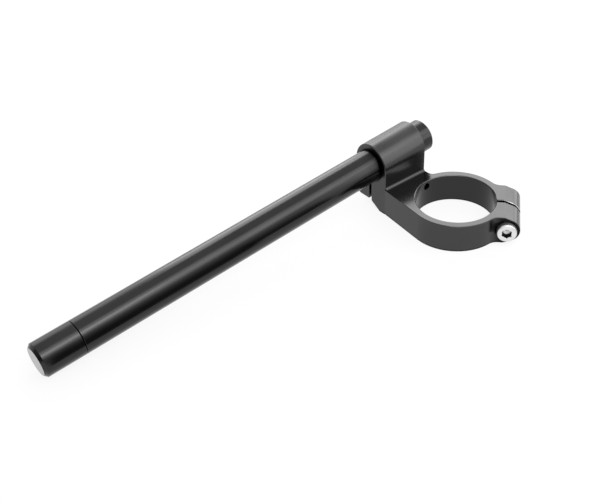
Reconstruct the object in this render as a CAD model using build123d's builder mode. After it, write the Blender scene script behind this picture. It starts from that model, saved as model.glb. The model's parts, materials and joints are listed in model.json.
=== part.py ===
"""Right-hand clip-on handlebar: split fork clamp, bar tube, bar end plug and pinch bolts.

The origin is the centre of the fork bore at the ring's mid-height. +Z is up along the fork leg,
+X is outward along the bar and +Y is forward, from the bar to the fork. All lengths are in millimetres.
"""
import os
from math import acos, atan2, cos, radians, sin, sqrt, tan

from build123d import *

# Fork ring and its ears
fork_diameter = 53.0
ring_wall = 5.0
ring_height = 20.0
slit_angle = 132.0  # direction of the slit, measured from +X
slit_width = 2.2
slit_break = 0.4
ear_width = 37.0  # across both ears, along the pinch bolt
ear_blend = 8.0  # inside radius where an ear leaves the ring
ear_flat = 0.4  # level run past the ring's wall, or past the blend, before an ear tapers
nose_radius = 8.5  # round end of the ears about the pinch bolt
pinch_offset = 7.5  # pinch bolt axis outside the fork bore

# Bar
bar_diameter = 22.2
bar_wall = 3.5
bar_length = 273.8
bar_stub = 11.4  # bar that shows beyond the inboard end of the barrel
bar_rise = 25.4  # bar axis above the ring's mid-height, level with the fork axis
bar_drop = 5.0  # degrees that the bar falls towards its outer end
bar_end_break = 1.0

# Barrel, block and lug that hold the bar
barrel_wall = 3.55
block_length = 36.0
block_inboard = 7.7  # inboard end of the block, behind the fork axis
web_gap = 5.8  # between the ring's wall and the block
web_blend = 4.0  # inside radius between the ring's wall and the block's inboard end
root_radius = 2.0  # where the block stands on the ring
split_width = 2.5
bolt_below_bar = 8.4  # bar pinch bolt axes below the bar's surface
lug_below_bolt = 7.9
lug_bevel_run = 4.6
lug_bevel_rise = 2.0
underside_angle = 30.0
rim_break = 0.5
bore_break = 0.5
edge_break = 0.3

# Bar end plug
plug_length = 27.3
plug_chamfer = 2.0
seam_break = 0.4
spigot_length = 22.0
spigot_break = 1.0

# Socket-head cap screws
fork_thread = 8.0
fork_bolt_length = 30.0
fork_head_diameter = 13.0
fork_head_height = 8.0
fork_hexagon = 6.0  # across flats
fork_hexagon_depth = 4.0
fork_hexagon_turn = 30.0  # degrees past a corner pointing out along the slit
fork_head_proud = 3.8
bar_thread = 6.0
bar_bolt_length = 25.0
bar_head_diameter = 10.0
bar_head_height = 6.0
bar_hexagon = 5.0  # across flats
bar_hexagon_depth = 3.0
bar_hexagon_turn = 0.0  # degrees past a corner pointing out along the bar
bar_head_sunk = 0.3
bar_bolt_spacing = 20.0
bar_tap_drill = 5.0
bar_drill_past_tip = 13.0
head_break = 0.8
tip_break = 0.8

# Fits
bar_fit = 0.05
spigot_fit = 0.05
thread_fit = 0.05
shank_fit = 0.25
head_fit = 0.75

# Sizes that follow from the ones above
fork_radius = fork_diameter / 2
ring_radius = fork_radius + ring_wall
ring_top = ring_height / 2
bar_radius = bar_diameter / 2
barrel_bore = bar_radius + bar_fit
barrel_radius = barrel_bore + barrel_wall
block_front = -(ring_radius + web_gap)
bar_setback = barrel_radius - block_front
block_in = -block_inboard
block_out = block_in + block_length
bolt_drop = bar_radius + bolt_below_bar
lug_drop = bolt_drop + lug_below_bolt
beyond = 4 * block_length  # longer than any cut needs

# The bar's own frame: local x is forward, local y is up and local z runs outward along the bar
drop = radians(bar_drop)
bar_plane = Plane(
    origin=(0, -bar_setback, bar_rise),
    x_dir=(0, 1, 0),
    z_dir=(cos(drop), 0, -sin(drop)),
)
barrel_in = block_in / cos(drop)
tube_in = barrel_in - bar_stub
tube_out = tube_in + bar_length

# The pinch bolt's frame: local x runs out along the slit, local y is up and local z points to its head
slit = radians(slit_angle)
pinch_radius = fork_radius + pinch_offset
pinch_plane = Plane(
    origin=(pinch_radius * cos(slit), pinch_radius * sin(slit), 0),
    x_dir=(cos(slit), sin(slit), 0),
    z_dir=(sin(slit), -cos(slit), 0),
)
ear_side = ear_width / 2
ear_root = sqrt(ring_radius**2 - ear_side**2)
blend_end = sqrt((ring_radius + ear_blend) ** 2 - (ear_side + ear_blend) ** 2)
ear_taper = max(ring_radius, blend_end) + ear_flat
fork_seat = ear_side + fork_head_proud - fork_head_height

# The bar bolts' frame, midway along the block: local x runs outward and local z points to their heads
lug_middle = ((block_in + block_out) / 2 + bolt_drop * sin(drop)) / cos(drop)
lug_plane = Plane(
    origin=bar_plane.from_local_coords((0, -bolt_drop, lug_middle)),
    x_dir=bar_plane.z_dir,
    z_dir=(0, -1, 0),
)
bar_seat = barrel_radius - bar_head_sunk - bar_head_height
bar_bolt_grip = bar_bolt_length - bar_seat

# The web's outboard side runs from the block's corner and touches the ring's outer wall
corner_reach = sqrt(block_out**2 + block_front**2)
touch = atan2(block_front, block_out) + acos(ring_radius / corner_reach)
touch_point = (ring_radius * cos(touch), ring_radius * sin(touch))


def cap_screw(name, plane, thread, head_diameter, head_height, hexagon, hexagon_depth, hexagon_turn, length):
    """Socket-head cap screw seated on the plane, with its head on the plane's +z side."""
    with BuildPart() as screw:
        with BuildSketch(plane):
            Circle(head_diameter / 2)
        extrude(amount=head_height)
        rims = screw.edges().filter_by(GeomType.CIRCLE)
        chamfer(rims.sort_by_distance(plane.offset(head_height).origin)[0], head_break)
        with BuildSketch(plane):
            Circle(thread / 2)
        extrude(amount=-length)
        rims = screw.edges().filter_by(GeomType.CIRCLE)
        chamfer(rims.sort_by_distance(plane.offset(-length).origin)[0], tip_break)
        with BuildSketch(plane.offset(head_height)):
            RegularPolygon(hexagon / 2, 6, major_radius=False, rotation=hexagon_turn)
        extrude(amount=-hexagon_depth, mode=Mode.SUBTRACT)
    screw.part.label = name
    export_step(screw.part, f"parts/{name}.step")


os.makedirs("parts", exist_ok=True)

# Fork ring with its ears and the web, as a flat plate with broken edges
with BuildPart() as fork_ring:
    with BuildSketch(Plane.XY.offset(-ring_top)) as plan:
        Circle(ring_radius)
        with BuildLine():
            Polyline(
                (block_in, -bar_setback),
                (block_in, 0),
                (0, 0),
                touch_point,
                (block_out, block_front),
                (block_out, -bar_setback),
                close=True,
            )
        make_face()
        web_corner = (block_in, -sqrt(ring_radius**2 - block_in**2))
        fillet(plan.vertices().sort_by_distance(web_corner)[0], web_blend)
        with Locations((ear_taper / 2 * cos(slit), ear_taper / 2 * sin(slit))):
            Rectangle(ear_taper, ear_width, rotation=slit_angle)
        for side in (-ear_side, ear_side):
            ear_corner = pinch_plane.from_local_coords((ear_root - pinch_radius, 0, side))
            fillet(plan.vertices().sort_by_distance(ear_corner)[0], ear_blend)
    extrude(amount=ring_height)

    # Ear noses taper from the ring's full height to a round about the pinch bolt
    with BuildSketch(pinch_plane):
        Circle(nose_radius)
        with Locations((ear_taper - ring_wall / 2 - pinch_radius, 0)):
            Rectangle(ring_wall, ring_height)
        make_hull()
    extrude(amount=ear_side, both=True)
    pinch_axis = Axis(pinch_plane.origin, pinch_plane.z_dir)
    outline = fork_ring.edges().filter_by(Axis.Z, reverse=True).filter_by(pinch_axis, reverse=True)
    chamfer(outline, edge_break)

# Clamp body: the ring and the block with its barrel and lug, machined from one piece
with BuildPart() as clamp_body:
    # Barrel and block: an arch drawn square to the bar and cut off by upright planes
    with BuildSketch(bar_plane):
        Circle(barrel_radius)
        with Locations((0, -beyond / 2)):
            Rectangle(2 * barrel_radius, beyond)
    extrude(amount=beyond, both=True)
    split(bisect_by=Plane.YZ.offset(block_in), keep=Keep.TOP)
    split(bisect_by=Plane.YZ.offset(block_out), keep=Keep.BOTTOM)
    split(bisect_by=Plane.XY.offset(-ring_top), keep=Keep.TOP)
    chamfer(clamp_body.edges().filter_by(GeomType.ELLIPSE), rim_break)
    add(fork_ring.part)

    # Root of the block on top of the ring
    with BuildSketch(Plane.YZ.offset(block_in + rim_break)):
        with BuildLine():
            Line((block_front, ring_top + root_radius), (block_front, ring_top))
            Line((block_front, ring_top), (block_front + root_radius, ring_top))
            RadiusArc(
                (block_front + root_radius, ring_top),
                (block_front, ring_top + root_radius),
                root_radius,
            )
        make_face()
    extrude(amount=block_length - 2 * rim_break)

    # Underside: level below the lug, then falling to the ring's bottom face
    with BuildSketch(bar_plane):
        with BuildLine():
            Polyline(
                (-barrel_radius - lug_bevel_run, 2 * lug_bevel_rise - lug_drop),
                (-barrel_radius + lug_bevel_run, -lug_drop),
                (0, -lug_drop),
                (beyond, -lug_drop - beyond * tan(radians(underside_angle))),
                (-barrel_radius - lug_bevel_run, -lug_drop - beyond * tan(radians(underside_angle))),
                close=True,
            )
        make_face()
    extrude(amount=beyond, both=True, mode=Mode.SUBTRACT)

    # Fork bore and the slit that lets it close
    with BuildSketch(Plane.XY.offset(-ring_top)):
        Circle(fork_radius)
    extrude(amount=ring_height, mode=Mode.SUBTRACT)
    bore_rims = clamp_body.edges().filter_by(GeomType.CIRCLE).filter_by(lambda e: e.radius == fork_radius)
    chamfer(bore_rims, bore_break)
    with BuildSketch(pinch_plane):
        Rectangle(4 * nose_radius, 2 * ring_height)
    extrude(amount=slit_width / 2, both=True, mode=Mode.SUBTRACT)
    slit_walls = clamp_body.faces().filter_by(pinch_axis).sort_by_distance(pinch_plane.origin)[:2]
    chamfer(slit_walls.edges(), slit_break)

    # Bar bore and the split under it
    with BuildSketch(bar_plane):
        Circle(barrel_bore)
        with Locations((0, -beyond / 2)):
            Rectangle(split_width, beyond)
    extrude(amount=beyond, both=True, mode=Mode.SUBTRACT)

    # Pinch bolt hole across the ears: head recess, clearance to the slit and thread beyond it
    with BuildSketch(pinch_plane.offset(fork_seat)):
        Circle(fork_head_diameter / 2 + head_fit)
    extrude(amount=ear_side, mode=Mode.SUBTRACT)
    with BuildSketch(pinch_plane):
        Circle(fork_thread / 2 + shank_fit)
    extrude(amount=ear_side, mode=Mode.SUBTRACT)
    with BuildSketch(pinch_plane):
        Circle(fork_thread / 2 + thread_fit)
    extrude(amount=-ear_side, mode=Mode.SUBTRACT)

    # Bar pinch bolt holes: head recesses, clearance to the split, threads and tapping drill
    with BuildSketch(lug_plane.offset(bar_seat)):
        with GridLocations(bar_bolt_spacing, 0, 2, 1):
            Circle(bar_head_diameter / 2 + head_fit)
    extrude(amount=barrel_radius, mode=Mode.SUBTRACT)
    with BuildSketch(lug_plane):
        with GridLocations(bar_bolt_spacing, 0, 2, 1):
            Circle(bar_thread / 2 + shank_fit)
    extrude(amount=barrel_radius, mode=Mode.SUBTRACT)
    with BuildSketch(lug_plane):
        with GridLocations(bar_bolt_spacing, 0, 2, 1):
            Circle(bar_thread / 2 + thread_fit)
    extrude(amount=-bar_bolt_grip, mode=Mode.SUBTRACT)
    with BuildSketch(lug_plane):
        with GridLocations(bar_bolt_spacing, 0, 2, 1):
            Circle(bar_tap_drill / 2)
    extrude(amount=-bar_bolt_grip - bar_drill_past_tip, mode=Mode.SUBTRACT)
clamp_body.part.label = "clamp_body"
export_step(clamp_body.part, "parts/clamp_body.step")

# Bar tube, open at its inboard end
with BuildPart() as bar_tube:
    with BuildSketch(bar_plane.offset(tube_in)):
        Circle(bar_radius)
        Circle(bar_radius - bar_wall, mode=Mode.SUBTRACT)
    extrude(amount=bar_length)
    tube_rims = bar_tube.edges().filter_by(GeomType.CIRCLE).filter_by(lambda e: e.radius == bar_radius)
    chamfer(tube_rims.sort_by_distance(bar_plane.offset(tube_in).origin)[0], bar_end_break)
    chamfer(tube_rims.sort_by_distance(bar_plane.offset(tube_out).origin)[0], seam_break)
bar_tube.part.label = "bar_tube"
export_step(bar_tube.part, "parts/bar_tube.step")

# Bar end plug, flush with the bar, with a spigot inside it
with BuildPart() as bar_end_plug:
    with BuildSketch(bar_plane.offset(tube_out)):
        Circle(bar_radius)
    extrude(amount=plug_length)
    plug_rims = bar_end_plug.edges().filter_by(GeomType.CIRCLE)
    chamfer(plug_rims.sort_by_distance(bar_plane.offset(tube_out).origin)[0], seam_break)
    chamfer(plug_rims.sort_by_distance(bar_plane.offset(tube_out + plug_length).origin)[0], plug_chamfer)
    with BuildSketch(bar_plane.offset(tube_out)):
        Circle(bar_radius - bar_wall - spigot_fit)
    extrude(amount=-spigot_length)
    plug_rims = bar_end_plug.edges().filter_by(GeomType.CIRCLE)
    chamfer(plug_rims.sort_by_distance(bar_plane.offset(tube_out - spigot_length).origin)[0], spigot_break)
bar_end_plug.part.label = "bar_end_plug"
export_step(bar_end_plug.part, "parts/bar_end_plug.step")

# Pinch bolts
cap_screw(
    "fork_pinch_bolt",
    pinch_plane.offset(fork_seat),
    fork_thread,
    fork_head_diameter,
    fork_head_height,
    fork_hexagon,
    fork_hexagon_depth,
    fork_hexagon_turn,
    fork_bolt_length,
)
for number in (1, 2):
    along = (number - 1.5) * bar_bolt_spacing
    bolt_plane = Plane(
        origin=lug_plane.from_local_coords((along, 0, bar_seat)),
        x_dir=lug_plane.x_dir,
        z_dir=lug_plane.z_dir,
    )
    cap_screw(
        f"bar_pinch_bolt_{number}",
        bolt_plane,
        bar_thread,
        bar_head_diameter,
        bar_head_height,
        bar_hexagon,
        bar_hexagon_depth,
        bar_hexagon_turn,
        bar_bolt_length,
    )
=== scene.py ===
import json
from math import atan2, cos, pi, radians, sin, sqrt

import bmesh
import bpy
from mathutils import Matrix, Vector


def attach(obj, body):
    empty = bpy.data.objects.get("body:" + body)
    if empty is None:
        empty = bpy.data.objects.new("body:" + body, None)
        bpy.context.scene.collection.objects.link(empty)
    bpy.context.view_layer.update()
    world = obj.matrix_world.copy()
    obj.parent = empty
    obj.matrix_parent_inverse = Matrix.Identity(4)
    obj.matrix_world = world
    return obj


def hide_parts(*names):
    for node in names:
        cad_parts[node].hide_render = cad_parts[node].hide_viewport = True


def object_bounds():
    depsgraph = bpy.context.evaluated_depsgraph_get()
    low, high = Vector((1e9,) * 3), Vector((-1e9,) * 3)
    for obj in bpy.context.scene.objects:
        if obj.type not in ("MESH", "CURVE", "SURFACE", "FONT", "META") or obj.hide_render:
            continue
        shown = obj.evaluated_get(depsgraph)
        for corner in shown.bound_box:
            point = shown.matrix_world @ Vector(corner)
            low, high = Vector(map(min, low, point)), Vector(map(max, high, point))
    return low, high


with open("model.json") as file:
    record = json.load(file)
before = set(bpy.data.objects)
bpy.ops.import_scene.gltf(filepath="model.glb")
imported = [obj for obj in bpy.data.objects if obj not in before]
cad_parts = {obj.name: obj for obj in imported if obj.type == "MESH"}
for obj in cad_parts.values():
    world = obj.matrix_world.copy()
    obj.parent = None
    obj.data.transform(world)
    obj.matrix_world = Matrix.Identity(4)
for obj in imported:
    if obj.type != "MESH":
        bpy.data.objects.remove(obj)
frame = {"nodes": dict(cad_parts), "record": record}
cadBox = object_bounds()
nodes = frame["nodes"]
mounts = {mount["name"]: mount for mount in frame["record"]["mounts"]}
mm = 0.001  # the frame is in metres
bpy.context.scene.view_settings.view_transform = "Standard"
print("frame loaded:", ", ".join(sorted(nodes)))


# sRGB hex to the linear colour that a shader socket takes
def hexToLinear(code):
    parts = [int(code[i:i + 2], 16) / 255 for i in (1, 3, 5)]
    return [p / 12.92 if p <= 0.04045 else ((p + 0.055) / 1.055) ** 2.4 for p in parts] + [1.0]


# one node: its type, then settings and socket values by name, then links by socket name
def addNode(tree, kind, settings, links=None):
    node = tree.nodes.new(kind)
    for key, value in settings.items():
        if isinstance(key, int) or key in node.inputs:
            node.inputs[key].default_value = value
        else:
            setattr(node, key, value)
    for key, source in (links or {}).items():
        tree.links.new(source, node.inputs[key])
    return node


# an empty node tree for a surface, with its output and the object's own coordinates in metres
def newSurface(name):
    material = bpy.data.materials.new(name)
    material.use_nodes = True
    tree = material.node_tree
    tree.nodes.clear()
    output = addNode(tree, "ShaderNodeOutputMaterial", {})
    place = addNode(tree, "ShaderNodeTexCoord", {}).outputs["Object"]
    return material, tree, output, place


# a wave texture's bands repeat every 2*pi/20 of its scaled coordinate
def waveScale(pitchMm):
    return 2 * pi / 20 / (pitchMm * mm)


def noiseScale(grainMm):
    return 1 / (grainMm * mm)


# a distance out from the fork bore's wall, as metres from the bore's axis
def fromForkAxis(beyondMm):
    return (mounts["fork_clamp"]["dims"]["r_mm"] + beyondMm) * mm


# What the metals share: the values that most of a noise lies between, and the painted shade in corners,
# where darkest is the share of its colour that a closed corner keeps
noiseSpread = (0.3, 0.7)
cornerShade = {"colour": "#000000", "darkest": 0.05, "samples": 8}


# the finish's two close colours, mixed by soft clouds
def cloudedColour(tree, cloud, look):
    shades = {6: hexToLinear(look["colour"]), 7: hexToLinear(look["paler"])}
    return addNode(tree, "ShaderNodeMix", {"data_type": "RGBA", **shades}, {0: cloud}).outputs[2]


# paints shade into a colour where other faces crowd it, in a seam, a corner or under a lip
def paintCornerShade(tree, colour, look):
    opening = addNode(tree, "ShaderNodeAmbientOcclusion", {
        "samples": cornerShade["samples"], "Distance": look["cornerMm"] * mm}).outputs["AO"]
    opening = addNode(tree, "ShaderNodeMapRange", {
        "From Min": look["cornerOpen"][0], "From Max": look["cornerOpen"][1],
        "To Min": cornerShade["darkest"]}, {"Value": opening}).outputs["Result"]
    return addNode(tree, "ShaderNodeMix", {
        "data_type": "RGBA", 6: hexToLinear(cornerShade["colour"])}, {0: opening, 7: colour}).outputs[2]


# roughness that follows a pattern, between the finish's two values
def patchyRoughness(tree, pattern, look):
    return addNode(tree, "ShaderNodeMapRange", {
        "From Min": noiseSpread[0], "From Max": noiseSpread[1],
        "To Min": look["roughness"][0], "To Max": look["roughness"][1]}, {
        "Value": pattern}).outputs["Result"]


# ends a tree in the metal's shader
def finishMetal(tree, output, colour, roughness, bump):
    shader = addNode(tree, "ShaderNodeBsdfPrincipled", {"Metallic": 1.0}, {
        "Base Color": colour, "Roughness": roughness, "Normal": bump})
    tree.links.new(shader.outputs[0], output.inputs["Surface"])


# Clamp: aluminium milled from one block, bead-blasted very lightly and anodised black.
# The eye sees near-black satin metal with soft reflections, cutter arcs on the level faces
# that only show where light grazes, and edges a shade paler where the dye takes less.
clampFinish = {
    "colour": "#434343",
    "paler": "#4b4b4b",
    "roughness": (0.15, 0.21),
    "cloudMm": 14.0,
    "cloudDetail": 4.0,
    "gritMm": 0.5,  # real grit is about 0.1 mm, drawn coarser to show
    "gritDetail": 2.0,
    "gritHeightMm": 0.001,
    "cutterPitchMm": 0.9,  # real feed is about 0.2 mm, drawn coarser to show
    "cutterCentreMm": (-150.0, 110.0, 0.0),
    "cutterHeightMm": 0.0015,
    "cutterWander": 0.6,
    "cutterDetail": 1.0,
    "level": (0.98, 1.0),  # upright share of a normal, from no arcs to full arcs
    "edge": "#6a6a6a",
    "edgeRadiusMm": 0.35,
    "edgeSamples": 6,
    "edgeTurn": (0.995, 0.80),  # cosine of the turn, from no edge to a sharp one
    "edgeShare": 0.35,  # of the edge's colour on a sharp one
    # painted shade on the fork bore's wall
    "bore": "#383838",
    "boreMm": (0.05, 0.25),  # out from the bore's wall, where its painted shade ends
    "slitAngle": 132.0,  # degrees from +X
    # painted highlight on the breaks of the slit's edges
    "highlight": "#dedede",
    "slitEdgeMm": (1.15, 1.42),  # from the slit's middle, on the breaks of its edges
    "noseMm": (4.5, 9.5),  # out from the bore's wall, over which the painted highlight starts
    "highlightAbove": 0.25,  # upright share of a normal, past which a break takes the painted highlight
    "earEnd": "#222222",
    "earFacing": (0.6, 0.9),  # share of a normal across the slit, from none of this black to all
    "earMm": (-1.5, 3.5),  # out from the bore's wall, over which the ears' ends begin
    "barrelMm": (20.0, 28.0),  # heights between which the satin of the ring gives way to the barrel's
    "barrelDuller": 0.10,  # roughness that the barrel adds
    "cornerMm": 2.8,  # how far a face looks for others that crowd it
    "cornerOpen": (0.57, 0.8),  # how open it then is, from all of the shade to none
}


# cutter arcs, and the level faces that carry them, which look straight up or down
def cutterArcs(tree, place, upright):
    look = clampFinish
    centred = addNode(tree, "ShaderNodeVectorMath", {
        "operation": "SUBTRACT", 1: [c * mm for c in look["cutterCentreMm"]]}, {0: place}).outputs["Vector"]
    arcs = addNode(tree, "ShaderNodeTexWave", {
        "wave_type": "RINGS", "rings_direction": "Z", "Scale": waveScale(look["cutterPitchMm"]),
        "Distortion": look["cutterWander"], "Detail": look["cutterDetail"]}, {
        "Vector": centred}).outputs["Fac"]
    level = addNode(tree, "ShaderNodeMath", {"operation": "ABSOLUTE"}, {0: upright}).outputs[0]
    level = addNode(tree, "ShaderNodeMapRange", {
        "From Min": look["level"][0], "From Max": look["level"][1]}, {"Value": level}).outputs["Result"]
    return arcs, level


# softened normals, and the edges, where they leave the true ones
def softEdges(tree, normal):
    look = clampFinish
    rounded = addNode(tree, "ShaderNodeBevel", {
        "samples": look["edgeSamples"], "Radius": look["edgeRadiusMm"] * mm}).outputs["Normal"]
    turn = addNode(tree, "ShaderNodeVectorMath", {
        "operation": "DOT_PRODUCT"}, {0: rounded, 1: normal}).outputs["Value"]
    edge = addNode(tree, "ShaderNodeMapRange", {
        "From Min": look["edgeTurn"][0], "From Max": look["edgeTurn"][1],
        "To Max": look["edgeShare"]}, {"Value": turn}).outputs["Result"]
    return rounded, edge


# a darker black painted on the fork bore's wall, for the shade inside the ring
def paintBoreShade(tree, place):
    wall, beyond = [fromForkAxis(reach) for reach in clampFinish["boreMm"]]
    flat = addNode(tree, "ShaderNodeVectorMath", {
        "operation": "MULTIPLY", 1: (1, 1, 0)}, {0: place}).outputs["Vector"]
    fromAxis = addNode(tree, "ShaderNodeVectorMath", {"operation": "LENGTH"}, {0: flat}).outputs["Value"]
    return addNode(tree, "ShaderNodeMapRange", {
        "From Min": beyond, "From Max": wall}, {"Value": fromAxis}).outputs["Result"]


# a painted highlight: a pale line on the breaks of the slit's edges, on top of the noses
def paintSlitHighlight(tree, along, across, upright):
    look = clampFinish
    start, full = [fromForkAxis(reach) for reach in look["noseMm"]]
    slitHighlight = addNode(tree, "ShaderNodeMapRange", {
        "From Min": start, "From Max": full}, {"Value": along}).outputs["Result"]
    near, far = [reach * mm for reach in look["slitEdgeMm"]]
    offMiddle = addNode(tree, "ShaderNodeMath", {"operation": "ABSOLUTE"}, {0: across}).outputs[0]
    onBreak = addNode(tree, "ShaderNodeMath", {
        "operation": "COMPARE", 1: (near + far) / 2, 2: (far - near) / 2}, {0: offMiddle}).outputs[0]
    above = addNode(tree, "ShaderNodeMath", {
        "operation": "GREATER_THAN", 1: look["highlightAbove"]}, {0: upright}).outputs[0]
    for limit in (onBreak, above):
        slitHighlight = addNode(tree, "ShaderNodeMath", {"operation": "MULTIPLY"}, {0: slitHighlight, 1: limit}).outputs[0]
    return slitHighlight


# the ends of the ears, where they face across the slit, are coloured near-black
def earEnds(tree, along, facing):
    look = clampFinish
    start, full = [fromForkAxis(reach) for reach in look["earMm"]]
    onEar = addNode(tree, "ShaderNodeMapRange", {
        "From Min": start, "From Max": full}, {"Value": along}).outputs["Result"]
    endOn = addNode(tree, "ShaderNodeMath", {"operation": "ABSOLUTE"}, {0: facing}).outputs[0]
    endOn = addNode(tree, "ShaderNodeMapRange", {
        "From Min": look["earFacing"][0], "From Max": look["earFacing"][1]}, {
        "Value": endOn}).outputs["Result"]
    return addNode(tree, "ShaderNodeMath", {"operation": "MULTIPLY"}, {0: endOn, 1: onEar}).outputs[0]


def clampMaterial():
    look = clampFinish
    material, tree, output, place = newSurface("anodised_aluminium_milled_black")
    cloud = addNode(tree, "ShaderNodeTexNoise", {
        "Scale": noiseScale(look["cloudMm"]), "Detail": look["cloudDetail"]}, {
        "Vector": place}).outputs["Fac"]
    grit = addNode(tree, "ShaderNodeTexNoise", {
        "Scale": noiseScale(look["gritMm"]), "Detail": look["gritDetail"]}, {
        "Vector": place}).outputs["Fac"]
    normal = addNode(tree, "ShaderNodeNewGeometry", {}).outputs["Normal"]
    upright = addNode(tree, "ShaderNodeSeparateXYZ", {}, {0: normal}).outputs["Z"]
    height = addNode(tree, "ShaderNodeSeparateXYZ", {}, {0: place}).outputs["Z"]
    arcs, level = cutterArcs(tree, place, upright)
    rounded, edge = softEdges(tree, normal)
    # along the slit from the fork axis, across it, and how far a face looks across it
    slit = radians(look["slitAngle"])
    outward = (cos(slit), sin(slit), 0)
    sideways = (sin(slit), -cos(slit), 0)
    along, across, facing = [
        addNode(tree, "ShaderNodeVectorMath", {
            "operation": "DOT_PRODUCT", 1: way}, {0: source}).outputs["Value"]
        for way, source in ((outward, place), (sideways, place), (sideways, normal))]
    colour = cloudedColour(tree, cloud, look)
    colour = addNode(tree, "ShaderNodeMix", {
        "data_type": "RGBA", 7: hexToLinear(look["edge"])}, {0: edge, 6: colour}).outputs[2]
    # painted shade on the fork bore's wall
    boreShade = paintBoreShade(tree, place)
    colour = addNode(tree, "ShaderNodeMix", {
        "data_type": "RGBA", 7: hexToLinear(look["bore"])}, {0: boreShade, 6: colour}).outputs[2]
    # painted shade in corners and seams
    colour = paintCornerShade(tree, colour, look)
    onEnd = earEnds(tree, along, facing)
    colour = addNode(tree, "ShaderNodeMix", {
        "data_type": "RGBA", 7: hexToLinear(look["earEnd"])}, {0: onEnd, 6: colour}).outputs[2]
    # painted highlight along the slit's edges
    slitHighlight = paintSlitHighlight(tree, along, across, upright)
    colour = addNode(tree, "ShaderNodeMix", {
        "data_type": "RGBA", 7: hexToLinear(look["highlight"])}, {0: slitHighlight, 6: colour}).outputs[2]
    # the barrel was milled along the bar with a ball cutter, which leaves it duller
    duller = addNode(tree, "ShaderNodeMapRange", {
        "From Min": look["barrelMm"][0] * mm, "From Max": look["barrelMm"][1] * mm,
        "To Max": look["barrelDuller"]}, {"Value": height}).outputs["Result"]
    roughness = addNode(tree, "ShaderNodeMath", {"operation": "ADD"}, {
        0: patchyRoughness(tree, cloud, look), 1: duller}).outputs[0]
    bump = addNode(tree, "ShaderNodeBump", {
        "Strength": 1.0, "Distance": look["gritHeightMm"] * mm}, {
        "Height": grit, "Normal": rounded}).outputs["Normal"]
    bump = addNode(tree, "ShaderNodeBump", {
        "Distance": look["cutterHeightMm"] * mm}, {
        "Strength": level, "Height": arcs, "Normal": bump}).outputs["Normal"]
    finishMetal(tree, output, colour, roughness, bump)
    return material


# Bar: drawn aluminium tube, polished along its length and anodised black.
# The eye sees a darker, glossier black than the clamp, with faint streaks along the bar.
tubeFinish = {
    "colour": "#353535",
    "paler": "#3d3d3d",
    "roughness": (0.15, 0.22),
    "streakMm": (60.0, 0.8),  # length and width of the drawing streaks, drawn wider than real to show
    "streakDetail": 3.0,
    "streakHeightMm": 0.003,
    "cloudMm": 25.0,
    "cloudDetail": 3.0,
    "cornerMm": 1.2,
    "cornerOpen": (0.57, 0.8),
    "mouth": {"cornerMm": 12.0, "cornerOpen": (0.8, 0.99)},
    "mouthMm": (13.5, 18.0),  # from the middle of the barrel's mouth, over which its shade ends
}


# turns the object's coordinates so that x runs along the bar
def alongBar(tree, place):
    axis = Vector(mounts["bar_end"]["axis"])
    tilt = atan2(-axis.z, axis.x)
    return addNode(tree, "ShaderNodeVectorRotate", {
        "rotation_type": "Y_AXIS", "Angle": -tilt,
        "Center": mounts["bar_end"]["pos_m"]}, {"Vector": place}).outputs["Vector"]


# paints shade on the bar beside the barrel's mouth, reaching further out along the bar than in other
# corners
def paintMouthShade(tree, place, colour):
    look = tubeFinish
    grip = mounts["bar_grip"]
    mouth = Vector(grip["pos_m"]) - Vector(grip["axis"]) * grip["dims"]["length_mm"] / 2 * mm
    fromMouth = addNode(tree, "ShaderNodeVectorMath", {
        "operation": "DISTANCE", 1: mouth}, {0: place}).outputs["Value"]
    beyond = addNode(tree, "ShaderNodeMapRange", {
        "From Min": look["mouthMm"][0] * mm, "From Max": look["mouthMm"][1] * mm}, {
        "Value": fromMouth}).outputs["Result"]
    shaded = paintCornerShade(tree, colour, look["mouth"])
    return addNode(tree, "ShaderNodeMix", {
        "data_type": "RGBA"}, {0: beyond, 6: shaded, 7: colour}).outputs[2]


def tubeMaterial():
    look = tubeFinish
    material, tree, output, place = newSurface("anodised_aluminium_drawn_black")
    bar = alongBar(tree, place)
    length, width = [noiseScale(size) for size in look["streakMm"]]
    stretched = addNode(tree, "ShaderNodeVectorMath", {
        "operation": "MULTIPLY", 1: (length, width, width)}, {0: bar}).outputs["Vector"]
    streak = addNode(tree, "ShaderNodeTexNoise", {
        "Scale": 1.0, "Detail": look["streakDetail"]}, {"Vector": stretched}).outputs["Fac"]
    cloud = addNode(tree, "ShaderNodeTexNoise", {
        "Scale": noiseScale(look["cloudMm"]), "Detail": look["cloudDetail"]}, {
        "Vector": place}).outputs["Fac"]
    colour = cloudedColour(tree, cloud, look)
    # painted shade in the seam with the plug
    colour = paintCornerShade(tree, colour, look)
    # painted shade beside the barrel's mouth
    colour = paintMouthShade(tree, place, colour)
    roughness = patchyRoughness(tree, streak, look)
    bump = addNode(tree, "ShaderNodeBump", {
        "Strength": 1.0, "Distance": look["streakHeightMm"] * mm}, {"Height": streak}).outputs["Normal"]
    finishMetal(tree, output, colour, roughness, bump)
    return material


# Bar end plug: turned from bar stock and anodised black.
# The eye sees the bar's black with fine turning lines round the wall and rings on the end.
plugFinish = {
    "colour": "#353535",
    "paler": "#3d3d3d",
    "roughness": (0.16, 0.24),
    "end": "#959595",  # painted light: the end face is painted a paler grey for the light it catches
    "endFacing": (0.85, 0.95),  # share of a normal along the bar, from the wall's black to the end's grey
    "linePitchMm": 0.5,  # real feed is about 0.1 mm, drawn coarser to show
    "lineHeightMm": 0.0015,
    "lineWander": 0.4,
    "cloudMm": 9.0,
    "cloudDetail": 3.0,
    "cornerMm": 1.2,
    "cornerOpen": (0.57, 0.8),
}


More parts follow.
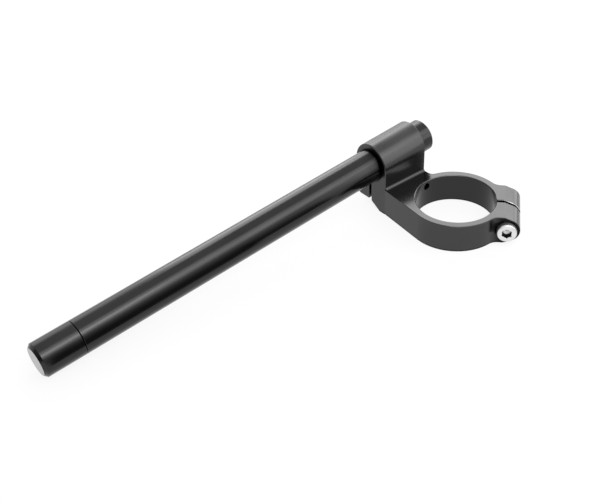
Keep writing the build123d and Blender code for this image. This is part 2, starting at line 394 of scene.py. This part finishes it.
def plugMaterial():
    look = plugFinish
    material, tree, output, place = newSurface("anodised_aluminium_turned_black")
    bar = alongBar(tree, place)
    lines = {"Scale": waveScale(look["linePitchMm"]), "Distortion": look["lineWander"]}
    wall = addNode(tree, "ShaderNodeTexWave", {
        "wave_type": "BANDS", **lines}, {"Vector": bar}).outputs["Fac"]
    centred = addNode(tree, "ShaderNodeVectorMath", {
        "operation": "SUBTRACT", 1: mounts["bar_end"]["pos_m"]}, {0: bar}).outputs["Vector"]
    end = addNode(tree, "ShaderNodeTexWave", {
        "wave_type": "RINGS", **lines}, {"Vector": centred}).outputs["Fac"]
    turned = addNode(tree, "ShaderNodeMath", {"operation": "ADD"}, {0: wall, 1: end}).outputs[0]
    cloud = addNode(tree, "ShaderNodeTexNoise", {
        "Scale": noiseScale(look["cloudMm"]), "Detail": look["cloudDetail"]}, {
        "Vector": place}).outputs["Fac"]
    normal = addNode(tree, "ShaderNodeNewGeometry", {}).outputs["Normal"]
    outward = addNode(tree, "ShaderNodeVectorMath", {
        "operation": "DOT_PRODUCT", 1: mounts["bar_end"]["axis"]}, {0: normal}).outputs["Value"]
    onEnd = addNode(tree, "ShaderNodeMapRange", {
        "From Min": look["endFacing"][0], "From Max": look["endFacing"][1]}, {
        "Value": outward}).outputs["Result"]
    colour = cloudedColour(tree, cloud, look)
    # painted light on the plug's end face
    colour = addNode(tree, "ShaderNodeMix", {
        "data_type": "RGBA", 7: hexToLinear(look["end"])}, {0: onEnd, 6: colour}).outputs[2]
    # painted shade in corners and at the seam with the bar
    colour = paintCornerShade(tree, colour, look)
    roughness = patchyRoughness(tree, cloud, look)
    bump = addNode(tree, "ShaderNodeBump", {
        "Strength": 1.0, "Distance": look["lineHeightMm"] * mm}, {"Height": turned}).outputs["Normal"]
    finishMetal(tree, output, colour, roughness, bump)
    return material


nodes["clamp_body"].data.materials[0] = clampMaterial()
nodes["bar_tube"].data.materials[0] = tubeMaterial()
nodes["bar_end_plug"].data.materials[0] = plugMaterial()
print("clamp, bar and plug finished")

# Screws: cold-headed steel with rolled threads, bright zinc plate.
# The eye sees hard white reflections on the heads, and dark recesses, which are painted shade.
screwFinish = {
    "colour": "#d2d2d2",
    "paler": "#f0f0f0",
    "side": "#a2a2a2",
    # painted shade in the socket, the knurl and the thread
    "recess": "#262626",
    "roughness": (0.14, 0.22),
    "sideRoughness": 0.5,
    "cloudMm": 3.0,
    "cloudDetail": 3.0,
    "ringPitchMm": 0.4,  # real tool marks are about 0.1 mm, drawn coarser to show
    "ringHeightMm": 0.0008,
    "recessReachMm": 2.3,
    "recessOpen": (0.3, 0.8),  # how open a surface is, from all of the painted shade to none
}


def screwMaterial():
    look = screwFinish
    material, tree, output, place = newSurface("zinc_plated_steel_cold_headed")
    cloud = addNode(tree, "ShaderNodeTexNoise", {
        "Scale": noiseScale(look["cloudMm"]), "Detail": look["cloudDetail"]}, {
        "Vector": place}).outputs["Fac"]
    rings = addNode(tree, "ShaderNodeTexWave", {
        "wave_type": "RINGS", "rings_direction": "Z", "Scale": waveScale(look["ringPitchMm"])}, {
        "Vector": place}).outputs["Fac"]
    # how open the surface is, which sets the painted shade: low in the socket, the knurl and the thread
    opening = addNode(tree, "ShaderNodeAmbientOcclusion", {
        "only_local": True, "samples": cornerShade["samples"],
        "Distance": look["recessReachMm"] * mm}).outputs["AO"]
    opening = addNode(tree, "ShaderNodeMapRange", {
        "From Min": look["recessOpen"][0], "From Max": look["recessOpen"][1]}, {
        "Value": opening}).outputs["Result"]
    # the knurled and rolled sides are darker than the end faces and scatter more
    facing = addNode(tree, "ShaderNodeTexCoord", {}).outputs["Normal"]
    endOn = addNode(tree, "ShaderNodeSeparateXYZ", {}, {0: facing}).outputs["Z"]
    endOn = addNode(tree, "ShaderNodeMath", {"operation": "ABSOLUTE"}, {0: endOn}).outputs[0]
    colour = cloudedColour(tree, cloud, look)
    colour = addNode(tree, "ShaderNodeMix", {
        "data_type": "RGBA", 6: hexToLinear(look["side"])}, {0: endOn, 7: colour}).outputs[2]
    # painted shade in the recesses
    colour = addNode(tree, "ShaderNodeMix", {
        "data_type": "RGBA", 6: hexToLinear(look["recess"])}, {0: opening, 7: colour}).outputs[2]
    # painted shade on the walls of the punched socket, which face inwards
    inward = addNode(tree, "ShaderNodeVectorMath", {
        "operation": "DOT_PRODUCT"}, {0: facing, 1: place}).outputs["Value"]
    inward = addNode(tree, "ShaderNodeMath", {"operation": "LESS_THAN", 1: 0.0}, {0: inward}).outputs[0]
    colour = addNode(tree, "ShaderNodeMix", {
        "data_type": "RGBA", 7: hexToLinear(look["recess"])}, {0: inward, 6: colour}).outputs[2]
    roughness = addNode(tree, "ShaderNodeMix", {2: look["sideRoughness"]}, {
        0: endOn, 3: patchyRoughness(tree, cloud, look)}).outputs[0]
    bump = addNode(tree, "ShaderNodeBump", {
        "Strength": 1.0, "Distance": look["ringHeightMm"] * mm}, {"Height": rings}).outputs["Normal"]
    finishMetal(tree, output, colour, roughness, bump)
    return material


# Screw sizes and details in millimetres; heading is the angle from +X that the head points to,
# turn is how far a corner of the socket stands from level
forkScrew = {"heading": 42.0, "turn": 30.0, "thread": 8.0, "pitch": 1.25, "head": 13.0, "headHeight": 8.0,
             "socket": 6.0, "socketDepth": 4.0}
barScrew = {"heading": -90.0, "turn": -5.0, "thread": 6.0, "pitch": 1.0, "head": 10.0, "headHeight": 6.0,
            "socket": 5.0, "socketDepth": 3.0}
screwDetail = {
    "segments": 96,  # round the screw, two to a tooth of the knurl
    "drillWidth": 0.9,  # of the drill's cone in the socket's floor, share of the socket's width
    "drillDepth": 0.5,  # of that cone, share of half the socket's width
    "mouth": 0.3,  # countersink of the socket
    "mouthRim": 0.1,  # its rim, beyond the socket's corners
    "rimRadius": 1.4,  # its round stays inside the head's chamfer
    "rimSteps": 6,
    "knurlDepth": 0.14,
    "knurlRun": 0.4,  # over which the knurl comes and goes
    "footBreak": (0.4, 0.5),  # in and up, at the foot of the head
    "neck": (0.2, 0.3),  # out and down, where the shank meets the head
    "neckSlim": 0.05,  # how far the bare shank lies inside the thread
    "plainRun": 1.6,  # under the head, before the thread
    "perPitch": 8,  # rings to a turn of the thread
    "threadDepth": 0.61,  # share of the pitch
    "crest": 0.125,  # flat of the crest, share of the pitch
    "flanks": 0.625,  # both flanks, share of the pitch
    "tipBreak": 0.8,
    "sharpAngle": 32.0,  # degrees between faces, past which an edge stays sharp
}


# the screw's own frame, measured on its CAD node: z points to the head and starts under it
def screwFrame(node, size):
    heading = radians(size["heading"])
    toHead = Vector((cos(heading), sin(heading), 0))
    level = Vector((-sin(heading), cos(heading), 0))
    upward = Vector((0, 0, 1))
    points = [node.matrix_world @ corner.co for corner in node.data.vertices]
    reach = [[p.dot(d) for p in points] for d in (level, upward, toHead)]
    middle = [(min(r) + max(r)) / 2 for r in reach]
    seat = max(reach[2]) - size["headHeight"] * mm
    length = (seat - min(reach[2])) / mm
    turned = Matrix((level, upward, toHead)).transposed()
    place = Matrix.Translation(turned @ Vector((middle[0], middle[1], seat))) @ turned.to_4x4()
    return place, length


# depth of a thread's groove at this part of a turn: 0 on the crest, 1 at the root
def threadGroove(turnPart):
    fromCrest = abs(turnPart % 1.0 - 0.5) * 2
    return min(max((fromCrest - screwDetail["crest"]) / screwDetail["flanks"], 0.0), 1.0)


# the head as rings of radius and height, from the socket's floor out over the rim and down to the shank
def headRings(size, angles):
    detail = screwDetail
    shank = size["thread"] / 2
    head = size["head"] / 2
    top = size["headHeight"]
    flat = size["socket"] / 2
    floor = top - size["socketDepth"]
    corner = 2 * flat / sqrt(3)
    hexagon = [flat / cos(a % (pi / 3) - pi / 6) for a in angles]
    knurl = [head - detail["knurlDepth"] * (i % 2) for i in range(len(angles))]
    rim = detail["rimRadius"]
    footIn, footUp = detail["footBreak"]
    neckOut, neckDown = detail["neck"]

    def circle(radius, height):
        return [(radius, height)] * len(angles)

    rings = [circle(detail["drillWidth"] * flat, floor)]
    rings.append([(r, floor) for r in hexagon])
    rings.append([(r, top - detail["mouth"]) for r in hexagon])
    rings.append(circle(corner + detail["mouthRim"], top))
    for step in range(detail["rimSteps"] + 1):
        bend = pi / 2 * step / detail["rimSteps"]
        rings.append(circle(head - rim + rim * sin(bend), top - rim + rim * cos(bend)))
    rings.append([(r, top - rim - detail["knurlRun"]) for r in knurl])
    rings.append([(r, footUp + detail["knurlRun"]) for r in knurl])
    rings.append(circle(head, footUp))
    rings.append(circle(head - footIn, 0.0))
    rings.append(circle(shank + neckOut, 0.0))
    rings.append(circle(shank - detail["neckSlim"], -neckDown))
    return rings


# the thread's groove follows a helix, runs in over the first turn and stops at the tip's chamfer
def threadRings(size, length, angles):
    detail = screwDetail
    shank = size["thread"] / 2
    pitch = size["pitch"]
    run = length - detail["plainRun"]
    steps = round(run / pitch * detail["perPitch"])
    rings = []
    for step in range(steps + 1):
        down = run * step / steps
        depth = detail["threadDepth"] * pitch * min(down / pitch, 1.0)
        limit = shank - max(detail["tipBreak"] - (run - down), 0.0)
        ring = []
        for a in angles:
            radius = shank - depth * threadGroove(down / pitch + a / (2 * pi))
            ring.append((min(radius, limit), -detail["plainRun"] - down))
        rings.append(ring)
    return rings


# one closed mesh through all the rings, from the drill's point in the socket to the middle of the tip
def screwMesh(name, size, length):
    count = screwDetail["segments"]
    angles = [2 * pi * i / count for i in range(count)]
    rings = headRings(size, angles) + threadRings(size, length, angles)
    turn = radians(size["turn"])
    drillPoint = size["headHeight"] - size["socketDepth"] - screwDetail["drillDepth"] * size["socket"] / 2
    points = [Vector((0, 0, drillPoint))]
    for ring in rings:
        for a, (radius, height) in zip(angles, ring):
            points.append(Vector((radius * cos(a + turn), radius * sin(a + turn), height)))
    points.append(Vector((0, 0, -length)))
    faces = []
    last = len(points) - 1
    for i in range(count):
        j = (i + 1) % count
        faces.append((0, 1 + i, 1 + j))
        for ring in range(len(rings) - 1):
            start = 1 + ring * count
            faces.append((start + i, start + count + i, start + count + j, start + j))
        start = 1 + (len(rings) - 1) * count
        faces.append((start + j, start + i, last))
    mesh = bpy.data.meshes.new(name)
    mesh.from_pydata([p * mm for p in points], [], faces)
    mesh.shade_smooth()
    mesh.set_sharp_from_angle(angle=radians(screwDetail["sharpAngle"]))
    return mesh


def buildScrew(name, size, material):
    place, length = screwFrame(nodes[name], size)
    mesh = screwMesh(name + "_threaded", size, length)
    mesh.materials.append(material)
    screw = bpy.data.objects.new(mesh.name, mesh)
    screw.matrix_world = place
    bpy.context.collection.objects.link(screw)
    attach(screw, "root")
    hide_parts(name)


platedSteel = screwMaterial()
buildScrew("fork_pinch_bolt", forkScrew, platedSteel)
buildScrew("bar_pinch_bolt_1", barScrew, platedSteel)
buildScrew("bar_pinch_bolt_2", barScrew, platedSteel)
print("screws built")


# 1 for rays that show a surface to the camera, straight or by way of metal or glass
def shownRays(tree):
    path = addNode(tree, "ShaderNodeLightPath", {}).outputs
    shown = path["Is Camera Ray"]
    for kind in ("Is Glossy Ray", "Is Transmission Ray"):
        shown = addNode(tree, "ShaderNodeMath", {
            "operation": "MAXIMUM"}, {0: shown, 1: path[kind]}).outputs[0]
    return shown


# Floor: matt white paper under and behind the part, white to the camera and to the metal,
# with a share of real shading left in it for the shadow
paper = {
    "colour": "#f2f2f2",
    "shadowShare": 0.12,
    "shadowReachMm": (400.0, 1200.0),  # from the fork axis, over which that share ends
    "halfWidthMm": 6000.0,
}


def paperFloor():
    mesh = bpy.data.meshes.new("paper_floor")
    sheet = bmesh.new()
    bmesh.ops.create_grid(sheet, x_segments=1, y_segments=1, size=paper["halfWidthMm"] * mm)
    sheet.to_mesh(mesh)
    sheet.free()
    ground = bpy.data.objects.new("paper_floor", mesh)
    ground.location.z = cadBox[0].z
    bpy.context.collection.objects.link(ground)
    material, tree, output, place = newSurface("white_paper_matt")
    matt = addNode(tree, "ShaderNodeBsdfDiffuse", {"Color": hexToLinear(paper["colour"])}).outputs[0]
    glow = addNode(tree, "ShaderNodeEmission", {"Strength": 1.0}).outputs[0]
    away = addNode(tree, "ShaderNodeVectorMath", {"operation": "LENGTH"}, {0: place}).outputs["Value"]
    near, far = [reach * mm for reach in paper["shadowReachMm"]]
    share = addNode(tree, "ShaderNodeMapRange", {
        "From Min": near, "From Max": far, "To Min": 1 - paper["shadowShare"]}, {
        "Value": away}).outputs["Result"]
    share = addNode(tree, "ShaderNodeMath", {"operation": "MULTIPLY"}, {
        0: shownRays(tree), 1: share}).outputs[0]
    white = addNode(tree, "ShaderNodeMixShader", {}, {0: share, 1: matt, 2: glow}).outputs[0]
    tree.links.new(white, output.inputs["Surface"])
    mesh.materials.append(material)


paperFloor()

# Soft studio light in a white room, in millimetres and degrees: a strip in two parts and a wide soft box
# above the bar, one above and one low beyond the ring, three behind the bar and one beside the ears.
# The white room has a radiance of 1 where it shows, and roomForLight where it only lights.
roomForLight = 0.7
lamps = {
    "stripOuter": {"place": (210, 290, 500), "tilt": (0, 0, 0), "size": (300, 175), "radiance": 3.0},
    "stripInner": {"place": (-190, 355, 500), "tilt": (0, 0, -15), "size": (500, 175), "radiance": 0.9},
    "wide": {"place": (-40, 345, 501), "tilt": (0, 0, -8), "size": (800, 505), "radiance": 1.5},
    "back": {"place": (-690, -360, 550), "tilt": (54, 0, -62), "size": (950, 450), "radiance": 3.4},
    "left": {"place": (-990, -140, 175), "tilt": (80, 0, -80), "size": (600, 350), "radiance": 2.2},
    "rimOuter": {"place": (110, -720, 330), "tilt": (70, 0, 0), "size": (280, 420), "radiance": 1.3},
    "rimMiddle": {"place": (-215, -720, 430), "tilt": (70, 0, 0), "size": (370, 680), "radiance": 3.5},
    "rimInner": {"place": (-500, -720, 330), "tilt": (70, 0, 0), "size": (200, 420), "radiance": 1.6},
    "side": {"place": (-360, 400, 220), "tilt": (70, 0, -138), "size": (300, 300), "radiance": 1.5},
}


def softBox(name):
    box = lamps[name]
    width, depth = [side * mm for side in box["size"]]
    lamp = bpy.data.lights.new(name + "_soft_box", "AREA")
    lamp.shape = "RECTANGLE"
    lamp.size = width
    lamp.size_y = depth
    lamp.energy = box["radiance"] * pi * width * depth  # watts that give this radiance
    holder = bpy.data.objects.new(lamp.name, lamp)
    holder.location = Vector(box["place"]) * mm
    holder.rotation_euler = [radians(a) for a in box["tilt"]]
    bpy.context.collection.objects.link(holder)


# Dark gauze cards that only reflections see, in millimetres. Each stands from its first foot to its second,
# raised off the floor, up to its height, with its top leaning forward. It grows clear towards its top and,
# over fadeIn, towards its first foot, and surfaces that lie within clearNear of it see through it.
gauze = {
    "colour": "#0c0c0c",
    "clear": (0.12, 1.0),  # low down and at the top
    "clearFrom": 0.1,  # share of the top's height, where it starts to grow clear
}
cards = {
    "front": {"feet": ((97, 6), (270, -15)), "raised": 0, "height": 105, "lean": 95,
              "fadeIn": 15, "clearNear": 0},
    "inner": {"feet": ((26, 21), (112, 11)), "raised": 8, "height": 105, "lean": 87,
              "fadeIn": 10, "clearNear": 50},
    "outer": {"feet": ((420, -160), (420, 100)), "raised": 0, "height": 160, "lean": 0,
              "fadeIn": 15, "clearNear": 0},
}


# how clear a card is, from its height, its first end and the distance to what reflects it
def gauzeClear(tree, place, card, top):
    height = addNode(tree, "ShaderNodeSeparateXYZ", {}, {0: place}).outputs["Z"]
    clear = addNode(tree, "ShaderNodeMapRange", {
        "From Min": gauze["clearFrom"] * top, "From Max": top,
        "To Min": gauze["clear"][0], "To Max": gauze["clear"][1]}, {"Value": height}).outputs["Result"]
    first, second = [Vector((*foot, 0)) * mm for foot in card["feet"]]
    run = (second - first).normalized()
    start = first.dot(run)
    along = addNode(tree, "ShaderNodeVectorMath", {
        "operation": "DOT_PRODUCT", 1: run}, {0: place}).outputs["Value"]
    atFirst = addNode(tree, "ShaderNodeMapRange", {
        "From Min": start, "From Max": start + card["fadeIn"] * mm, "To Min": 1.0, "To Max": 0.0}, {
        "Value": along}).outputs["Result"]
    distance = addNode(tree, "ShaderNodeLightPath", {}).outputs["Ray Length"]
    near = addNode(tree, "ShaderNodeMath", {
        "operation": "LESS_THAN", 1: card["clearNear"] * mm}, {0: distance}).outputs[0]
    for other in (atFirst, near):
        clear = addNode(tree, "ShaderNodeMath", {"operation": "MAXIMUM"}, {0: clear, 1: other}).outputs[0]
    return clear


def darkCard(name):
    card = cards[name]
    top = cadBox[0].z + card["height"] * mm
    foot = Vector((0, 0, cadBox[0].z + card["raised"] * mm))
    head = Vector((0, card["lean"] * mm, top))
    first, second = [Vector((*corner, 0)) * mm for corner in card["feet"]]
    mesh = bpy.data.meshes.new(name + "_card")
    mesh.from_pydata([first + foot, second + foot, second + head, first + head], [], [(0, 1, 2, 3)])
    material, tree, output, place = newSurface("black_gauze")
    matt = addNode(tree, "ShaderNodeBsdfDiffuse", {"Color": hexToLinear(gauze["colour"])}).outputs[0]
    gap = addNode(tree, "ShaderNodeBsdfTransparent", {}).outputs[0]
    cloth = addNode(tree, "ShaderNodeMixShader", {}, {
        0: gauzeClear(tree, place, card, top), 1: matt, 2: gap}).outputs[0]
    tree.links.new(cloth, output.inputs["Surface"])
    mesh.materials.append(material)
    board = bpy.data.objects.new(mesh.name, mesh)
    board.visible_camera = board.visible_diffuse = board.visible_shadow = board.visible_transmission = False
    bpy.context.collection.objects.link(board)


def whiteRoom():
    world = bpy.data.worlds.new("white_room")
    world.use_nodes = True
    tree = world.node_tree
    tree.nodes.clear()
    strength = addNode(tree, "ShaderNodeMapRange", {
        "To Min": roomForLight}, {"Value": shownRays(tree)}).outputs["Result"]
    room = addNode(tree, "ShaderNodeBackground", {"Color": (1, 1, 1, 1)}, {"Strength": strength}).outputs[0]
    addNode(tree, "ShaderNodeOutputWorld", {}, {"Surface": room})
    bpy.context.scene.world = world


for name in lamps:
    softBox(name)
for name in cards:
    darkCard(name)
whiteRoom()
print("floor and studio light set")

# Camera at the photograph's place, in millimetres and degrees
view = {"place": (422.0, 386.1, 411.1), "aim": (103.6, -34.5, 0.0), "roll": -2.56,
        "lens": 63.2, "sensor": 36.0}


def setCamera():
    lens = bpy.data.cameras.new("camera")
    lens.lens = view["lens"]
    lens.sensor_width = view["sensor"]
    lens.sensor_fit = "HORIZONTAL"
    holder = bpy.data.objects.new("camera", lens)
    place = Vector(view["place"])
    look = (Vector(view["aim"]) - place).to_track_quat("-Z", "Y").to_matrix()
    turned = look @ Matrix.Rotation(radians(view["roll"]), 3, "Z")
    holder.location = place * mm
    holder.rotation_euler = turned.to_euler()
    bpy.context.collection.objects.link(holder)
    bpy.context.scene.camera = holder


setCamera()
print("camera set")
